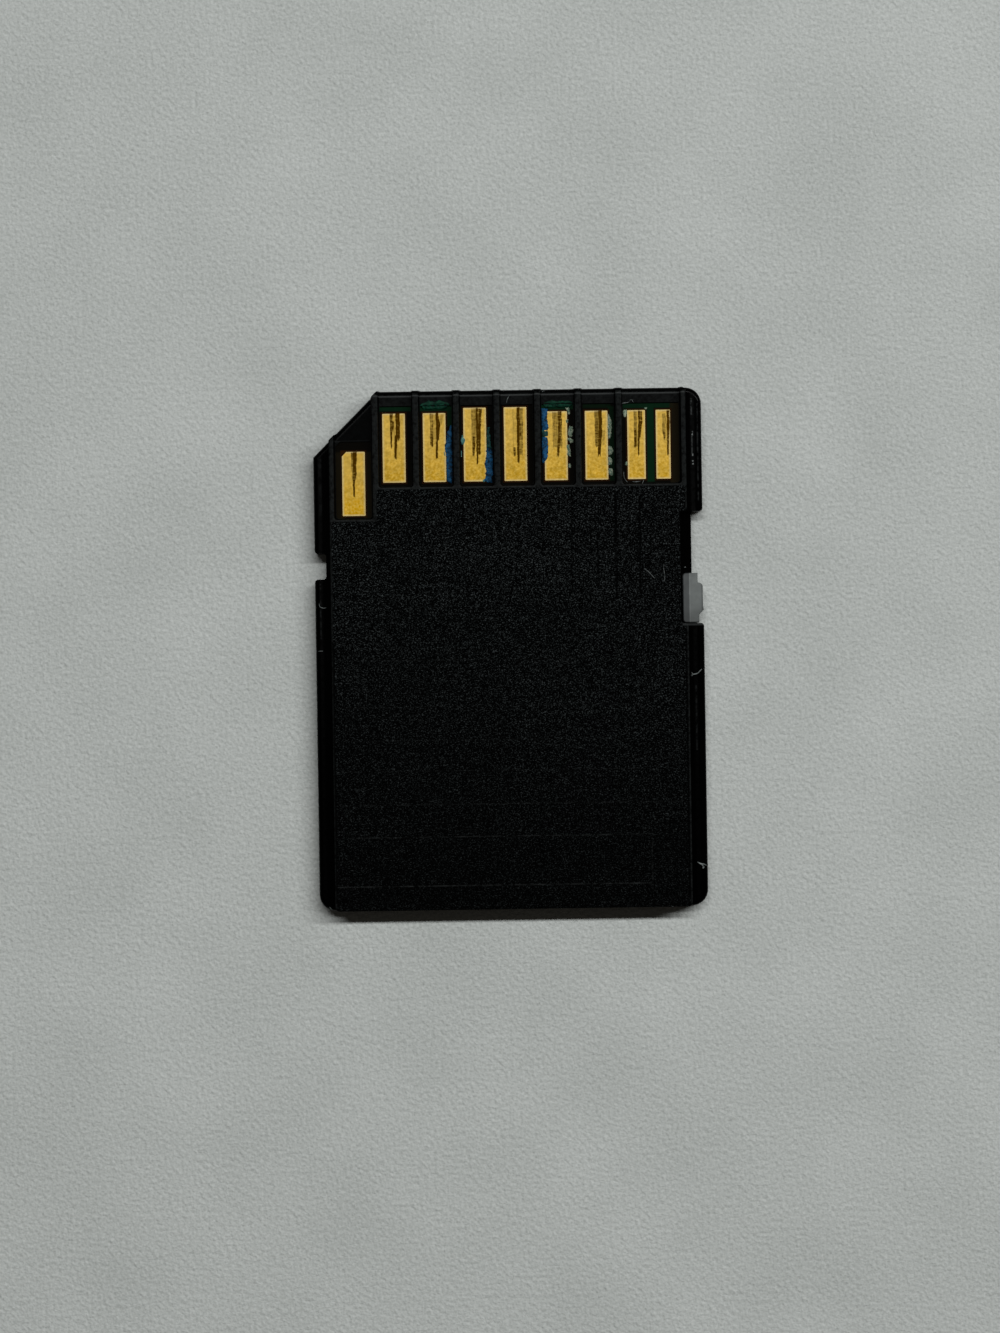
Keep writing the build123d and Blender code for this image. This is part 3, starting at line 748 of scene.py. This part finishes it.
def firedCeramic(name, bodyColour, node):
    # chip ceramic, fired and dipped at both ends: smooth body between bright tinned terminals
    material, tree, shader, place = newMaterial(name)
    x, y = addNode(tree, "SeparateXYZ", {0: place})[:2]
    low, high = boxInMm(node)
    terminal = packageLook["terminal"]
    bare = (low.x + terminal, high.x - terminal, low.y - 20, high.y + 20)    # open along Y
    body = boxMask(tree, x, y, bare, 0.02)
    grain = addNode(tree, "TexNoise", {"Vector": place, "Scale": 1 / packageLook["clayGrain"]})[0]
    shade = addNode(tree, "MapRange", {0: grain, 3: 0.85, 4: 1.1})[0]
    clay = addNode(tree, "VectorMath", {0: toLinear(bodyColour)[:3], "Scale": shade}, operation="SCALE")[0]
    colour = addNode(tree, "Mix", {
        0: body, 6: toLinear(packageLook["tin"]), 7: clay,
    }, data_type="RGBA")[2]
    metallic = addNode(tree, "MapRange", {0: body, 3: 1.0, 4: 0.0})[0]
    wire(tree, shader, {
        "Base Color": colour, "Metallic": metallic, "Roughness": packageLook["ceramicRoughness"],
    })
    return material


dress(mouldedEpoxy(), "flash_chip", "controller_chip")
dress(tinnedCopper(), "flash_chip_leads")
for kind in ("capacitor", "resistor"):
    passives = [name for name in cadNodes if name.startswith(kind)]
    dress(firedCeramic(f"firedCeramic_{kind}", packageLook[kind], passives[0]), *passives)
print("packages dressed")

# Lacquer flakes: blue, green and pale residue along the pads, crumbled off the mask

boardTop = boxInMm("circuit_board")[1].z
ledgeTop = shellLook["ledgeTop"]
crustLook = {
    "cell": 0.03,                  # mm, spacing of the points
    "bend": 0.3125,                # mm, bends of the ragged edge
    "lump": 0.2,                   # mm
    "lumpHeight": (0.25, 0.85, 0.5),       # of the rise: least, usual, swing
    "edge": 0.05,                  # mm, over which a crust rises
    "patch": 0.278,                # mm, whole and broken lacquer
    "crumb": 0.111, "crumbDepth": 0.02,    # mm
    "chalk": (0.7, 0.85),          # heights where the crumbs start to pale and are pale
    "roughness": 0.6, "gloss": 0.1,
}
# each ribbon runs from front to back through stations of Y, left and right in mm;
# ragged is how far its edges wander
blueCrusts = {
    "blue_crust_2": {"rise": 0.075, "ragged": 0.07, "seed": 2, "ribbons": [
        [(13.9, -3.55, -3.42), (13.5, -3.67, -3.4), (13.0, -3.78, -3.4), (12.4, -3.9, -3.4),
         (11.9, -3.82, -3.4), (11.3, -3.8, -3.4), (10.7, -3.78, -3.4), (10.28, -3.72, -3.42)]]},
    "blue_crust_3": {"rise": 0.075, "ragged": 0.08, "seed": 3, "ribbons": [
        [(12.45, -1.3, -0.94), (11.9, -1.36, -0.91), (11.5, -1.44, -0.91), (11.0, -1.42, -0.91),
         (10.6, -1.46, -0.91), (10.42, -1.52, -0.92), (10.26, -1.2, -0.95)]]},
    "blue_crust_5": {"rise": 0.085, "ragged": 0.04, "seed": 5, "ribbons": [
        [(14.84, 2.12, 2.52), (14.5, 2.12, 2.54), (14.2, 2.12, 2.48), (13.9, 2.12, 2.6), (13.6, 2.12, 2.62),
         (13.42, 2.14, 2.5)],
        [(13.08, 2.14, 2.5), (12.8, 2.12, 2.55), (12.2, 2.12, 2.56), (11.8, 2.12, 2.54), (11.6, 2.13, 2.44),
         (11.42, 2.15, 2.26)]]},
}
tealCrusts = {
    "teal_crust_3": {"rise": 0.07, "ragged": 0.07, "seed": 33, "ribbons": [
        [(13.7, -1.2, -1.1), (13.2, -1.28, -1.02), (12.8, -1.31, -0.98), (12.4, -1.33, -0.94)]]},
    "teal_crust_5": {"rise": 0.08, "ragged": 0.06, "seed": 35, "ribbons": [
        [(13.55, 2.14, 2.62), (13.3, 2.14, 2.58), (13.0, 2.18, 2.54)]]},
}
greenCrusts = {
    "green_crust_2": {"rise": 0.05, "ragged": 0.13, "seed": 12, "level": ledgeTop, "ribbons": [
        [(15.4, -4.8, -4.0), (15.25, -5.2, -3.72), (15.09, -5.35, -3.58)]]},
    "green_crust_5": {"rise": 0.04, "ragged": 0.05, "seed": 15, "level": ledgeTop, "ribbons": [
        [(15.28, 2.62, 3.8), (15.2, 2.36, 4.0), (15.09, 2.2, 4.1)]]},
    "green_lip_2": {"rise": 0.15, "ragged": 0.05, "seed": 42, "ribbons": [
        [(15.12, -5.3, -3.62), (14.98, -5.25, -3.66), (14.84, -5.1, -3.8)]]},
    "green_lip_5": {"rise": 0.15, "ragged": 0.05, "seed": 45, "ribbons": [
        [(15.12, 2.2, 4.08), (14.98, 2.25, 4.05), (14.84, 2.4, 3.95)]]},
}
paleCrusts = {
    "pale_flakes_2": {"rise": 0.08, "ragged": 0.04, "seed": 22, "ribbons": [
        [(12.24, -3.96, -3.84), (12.1, -3.95, -3.8), (11.92, -3.9, -3.8)]]},
    "pale_flakes_5": {"rise": 0.085, "ragged": 0.07, "seed": 25, "ribbons": [
        [(13.7, 3.86, 4.02), (13.5, 3.78, 4.1), (13.3, 3.76, 4.12), (13.03, 3.82, 4.02)],
        [(12.97, 3.7, 3.92), (12.85, 3.74, 4.1), (12.66, 3.88, 4.1)],
        [(12.55, 3.64, 3.8), (12.2, 3.64, 3.93), (11.86, 3.66, 3.86)],
        [(11.44, 3.68, 3.88), (11.25, 3.72, 3.98), (11.08, 3.76, 3.92)],
        [(14.82, 3.62, 3.82), (14.65, 3.7, 3.87), (14.45, 3.78, 3.88)],
        [(14.1, 3.66, 3.78), (13.9, 3.66, 3.76)]]},
    "pale_flakes_6": {"rise": 0.085, "ragged": 0.07, "seed": 26, "ribbons": [
        [(14.44, 6.2, 6.3), (13.9, 6.2, 6.46), (13.4, 6.18, 6.49), (12.84, 6.2, 6.42)],
        [(12.44, 6.24, 6.44), (12.15, 6.26, 6.57), (11.88, 6.22, 6.48)],
        [(11.78, 6.16, 6.36), (11.5, 6.18, 6.5), (11.26, 6.2, 6.42)],
        [(11.08, 6.2, 6.46), (10.8, 6.2, 6.54), (10.6, 6.26, 6.5)]]},
    "pale_flakes_7": {"rise": 0.08, "ragged": 0.05, "seed": 27, "ribbons": [
        [(14.7, 7.19, 7.42), (14.45, 7.17, 7.39), (14.18, 7.21, 7.35)],
        [(11.48, 7.27, 7.42), (11.23, 7.23, 7.4)],
        [(14.82, 8.42, 8.7), (14.66, 8.46, 8.64)]]},
}
paleTealCrusts = {
    "pale_flakes_3": {"rise": 0.08, "ragged": 0.06, "seed": 23, "ribbons": [
        [(13.26, -2.82, -2.72), (12.95, -2.9, -2.54), (12.62, -2.84, -2.66)],
        [(12.5, -2.88, -2.79), (12.2, -2.9, -2.8), (11.88, -2.88, -2.8)],
        [(10.5, -1.66, -1.42), (10.34, -1.52, -1.34)]]},
}


def flakedLacquer(name, deep, mid, pale, lightShare):
    # epoxy lacquer, screened and crumbled: chalky where it is broken, saturated where it is whole
    material, tree, shader, place = newMaterial(name)
    broad = addNode(tree, "TexNoise", {
        "Vector": place, "Scale": 1 / crustLook["patch"], "Detail": 4.0, "Roughness": 0.65,
    })[0]
    crumbs = addNode(tree, "TexNoise", {"Vector": place, "Scale": 1 / crustLook["crumb"], "Detail": 3.0})[0]
    body = addNode(tree, "MapRange", {0: broad, 1: 0.4, 2: 0.6})[0]
    colour = addNode(tree, "Mix", {0: body, 6: toLinear(deep), 7: toLinear(mid)}, data_type="RGBA")[2]
    start, full = crustLook["chalk"]
    chalk = addNode(tree, "MapRange", {0: crumbs, 1: start - lightShare, 2: full - lightShare})[0]
    colour = addNode(tree, "Mix", {0: chalk, 6: colour, 7: toLinear(pale)}, data_type="RGBA")[2]
    bump = addNode(tree, "Bump", {
        "Height": crumbs, "Strength": 0.4, "Distance": crustLook["crumbDepth"] * mm,
    })[0]
    wire(tree, shader, {
        "Base Color": colour, "Roughness": crustLook["roughness"],
        "Specular IOR Level": crustLook["gloss"], "Normal": bump,
    })
    return material


def crustHeight(x, y, crust):
    # height over the crust's floor at a point; none outside the ragged edge
    seed, bend, lump = crust["seed"], crustLook["bend"], crustLook["lump"]
    sway = crust["ragged"] * noise.fractal(Vector((x / bend, y / bend, seed * 3.1)), 0.9, 2.0, 4)
    depth = -1.0
    for ribbon in crust["ribbons"]:
        front, back = ribbon[0][0], ribbon[-1][0]
        station = min(max(y, back), front)
        for (start, leftStart, rightStart), (end, leftEnd, rightEnd) in zip(ribbon, ribbon[1:]):
            if end <= station <= start:
                share = (start - station) / (start - end)
                left = leftStart + (leftEnd - leftStart) * share
                right = rightStart + (rightEnd - rightStart) * share
                depth = max(depth, min(x - left, right - x, front - y, y - back) + sway)
    if depth <= 0:
        return 0.0
    lumps = noise.fractal(Vector((x / lump, y / lump, seed * 1.7)), 0.8, 2.0, 4)
    least, usual, swing = crustLook["lumpHeight"]
    return crust["rise"] * (1 - math.exp(-depth / crustLook["edge"])) * max(least, usual + swing * lumps)


def makeCrust(name, crust, material):
    level, cell = crust.get("level", boardTop), crustLook["cell"]
    stations = [station for ribbon in crust["ribbons"] for station in ribbon]
    reach = crust["ragged"] * 2
    left = min(station[1] for station in stations) - reach
    right = max(station[2] for station in stations) + reach
    back = min(station[0] for station in stations) - reach
    front = max(station[0] for station in stations) + reach
    columns, rows = int((right - left) / cell), int((front - back) / cell)
    heights = {}
    for column in range(columns + 1):
        for row in range(rows + 1):
            height = crustHeight(left + column * cell, back + row * cell, crust)
            if height > 0:
                heights[column, row] = height
    cells = [
        (column, row) for column in range(columns) for row in range(rows)
        if all((column + across, row + along) in heights for across in (0, 1) for along in (0, 1))
    ]
    points, faces, number = [], [], {}

    def point(column, row, upper):
        if (column, row, upper) not in number:
            number[column, row, upper] = len(points)
            rise = heights[column, row] if upper else 0.0
            points.append((left + column * cell, back + row * cell, level + rise))
        return number[column, row, upper]

    filled = set(cells)
    for column, row in cells:
        ring = [(column, row), (column + 1, row), (column + 1, row + 1), (column, row + 1)]
        faces.append([point(*corner, True) for corner in ring])
        faces.append([point(*corner, False) for corner in reversed(ring)])
        for side, (stepX, stepY) in enumerate(((0, -1), (1, 0), (0, 1), (-1, 0))):
            if (column + stepX, row + stepY) not in filled:
                first, second = ring[side], ring[(side + 1) % 4]
                faces.append([
                    point(*first, False), point(*second, False), point(*second, True), point(*first, True),
                ])
    makePiece(name, points, faces, material)


crustFamilies = [
    (blueCrusts, flakedLacquer("flakedBlueLacquer", "#041b2c", "#1b5580", "#4f8c98", 0.03)),
    (tealCrusts, flakedLacquer("flakedTealLacquer", "#0a2624", "#25524f", "#6d9790", 0.03)),
    (greenCrusts, flakedLacquer("flakedGreenLacquer", "#04241a", "#0b3c2b", "#33574a", 0.0)),
    (paleCrusts, flakedLacquer("flakedPaleLacquer", "#55705f", "#84917f", "#a9ac96", 0.2)),
    (paleTealCrusts, flakedLacquer("flakedPaleTealLacquer", "#36605c", "#5c8983", "#8db0a7", 0.12)),
]
for crusts, lacquer in crustFamilies:
    for name, crust in crusts.items():
        makeCrust(name, crust, lacquer)
print("crusts made")

# Nicks, burrs and lint: whitened plastic and fibres on the rails and ledges

strandLook = {
    "sides": 6, "steps": 5,        # steps: rings between points
    "tip": 0.25,                   # of the radius, at both ends
    "flat": 0.6,                   # height over width
    "thin": "#2c3030", "white": "#8b9190",
    "patch": 0.167,                # mm
    "roughness": 0.6, "gloss": 0.3,
}
# routes are points on the shell, radius is at the middle of the strand, both in mm
strands = {
    "nick_right_rail": {"radius": 0.035, "routes": [
        [(11.12, -1.78, 1.46), (11.3, -1.72, 1.42), (11.5, -1.68, 1.42), (11.7, -1.5, 1.41),
         (11.86, -1.32, 1.33)],
        [(11.14, -1.6, 1.44), (11.24, -1.72, 1.42), (11.16, -1.84, 1.44)],
    ]},
    "burr_right_rail": {"radius": 0.05, "routes": [
        [(11.34, -13.3, 1.41), (11.55, -13.42, 1.43), (11.75, -13.45, 1.4), (11.93, -13.55, 1.28)],
        [(11.6, -13.44, 1.42), (11.72, -13.62, 1.41), (11.66, -13.7, 1.41)],
    ]},
    "nick_left_rail": {"radius": 0.02, "routes": [
        [(-11.95, 0.02, 1.25), (-11.8, 0.04, 1.38), (-11.55, 0.05, 1.41)],
        [(-11.76, 3.02, 1.4), (-11.7, 2.78, 1.42), (-11.5, 2.7, 1.42), (-11.32, 2.72, 1.42)],
    ]},
    "lint_window_7": {"radius": 0.02, "routes": [
        [(7.0, 15.0, 1.53), (7.2, 15.06, 1.54), (7.5, 15.1, 1.54), (7.62, 15.24, 1.54), (7.74, 15.24, 1.54),
         (7.8, 15.1, 1.53)],
        [(7.16, 10.85, 1.42), (7.18, 10.5, 1.42), (7.28, 10.3, 1.42), (7.38, 10.2, 1.42)],
        [(7.7, 10.22, 1.4), (7.9, 10.2, 1.41), (8.2, 10.24, 1.41)],
        [(8.4, 10.32, 1.42), (8.3, 10.1, 1.6), (8.26, 10.0, 2.1)],
    ]},
    "scratch_ledge_4": {"radius": 0.018, "routes": [
        [(0.0, 15.18, 1.505), (0.04, 15.4, 1.505), (0.2, 15.68, 1.505)],
    ]},
    "scratch_field": {"radius": 0.016, "routes": [
        [(8.3, 4.85, 2.1), (8.5, 4.68, 2.1), (8.7, 4.48, 2.1), (8.95, 4.2, 2.1)],
        [(9.52, 5.1, 2.1), (9.5, 4.8, 2.1), (9.56, 4.4, 2.1), (9.52, 4.0, 2.1)],
    ]},
    "burr_back_edge": {"radius": 0.03, "routes": [
        [(-11.42, -15.7, 1.36), (-11.3, -15.86, 1.34), (-11.22, -15.94, 1.26)],
        [(9.6, -15.92, 2.08), (9.75, -15.96, 2.06), (9.85, -15.93, 2.07)],
        [(2.84, -15.95, 2.06), (2.92, -15.99, 2.0)],
    ]},
    "burr_front_edge": {"radius": 0.028, "routes": [
        [(2.2, 15.84, 1.45), (2.28, 15.9, 1.4), (2.34, 15.88, 1.42)],
    ]},
    # a pale speck put on the detent's top as a painted highlight
    "glint_speck_detent": {"radius": 0.022, "routes": [
        [(10.82, 4.89, 1.08), (10.88, 4.9, 1.085), (10.93, 4.91, 1.08)],
    ]},
}


def stressWhitenedBurr():
    # polycarbonate, torn and stress-whitened: chalky, greyer where it thins
    material, tree, shader, place = newMaterial("stressWhitenedBurr")
    thin = addNode(tree, "TexNoise", {"Vector": place, "Scale": 1 / strandLook["patch"], "Detail": 3.0})[0]
    shade = addNode(tree, "MapRange", {0: thin, 1: 0.35, 2: 0.7})[0]
    colour = addNode(tree, "Mix", {
        0: shade, 6: toLinear(strandLook["thin"]), 7: toLinear(strandLook["white"]),
    }, data_type="RGBA")[2]
    wire(tree, shader, {
        "Base Color": colour, "Roughness": strandLook["roughness"],
        "Specular IOR Level": strandLook["gloss"],
    })
    return material


def makeStrand(name, strand, material):
    sides, steps = strandLook["sides"], strandLook["steps"]
    tip, flat = strandLook["tip"], strandLook["flat"]
    points, faces = [], []
    for route in strand["routes"]:
        knots = [Vector(knot) for knot in route]
        line = []
        for place in range(len(knots) - 1):
            before, start = knots[max(place - 1, 0)], knots[place]
            end, after = knots[place + 1], knots[min(place + 2, len(knots) - 1)]
            for step in range(steps):
                share = step / steps
                line.append(0.5 * (                        # Catmull-Rom spline through the knots
                    2 * start + (end - before) * share
                    + (2 * before - 5 * start + 4 * end - after) * share ** 2
                    + (3 * start - before - 3 * end + after) * share ** 3
                ))
        line.append(knots[-1])
        first = len(points)
        for place, centre in enumerate(line):
            ahead = line[min(place + 1, len(line) - 1)] - line[max(place - 1, 0)]
            side = ahead.cross(Vector((0, 0, 1))).normalized()
            up = side.cross(ahead).normalized()
            share = place / (len(line) - 1)
            radius = strand["radius"] * (tip + (1 - tip) * math.sin(math.pi * share) ** 0.5)
            for corner in range(sides):
                angle = 2 * math.pi * corner / sides
                points.append(centre + (side * math.cos(angle) + up * math.sin(angle) * flat) * radius)
        for ring in range(len(line) - 1):
            base = first + ring * sides
            for corner in range(sides):
                after = (corner + 1) % sides
                faces.append([base + corner, base + after, base + sides + after, base + sides + corner])
        last = first + (len(line) - 1) * sides
        faces.append([first + corner for corner in reversed(range(sides))])
        faces.append([last + corner for corner in range(sides)])
    makePiece(name, points, faces, material)


whitened = stressWhitenedBurr()
for name, strand in strands.items():
    makeStrand(name, strand, whitened)
print("nicks made")
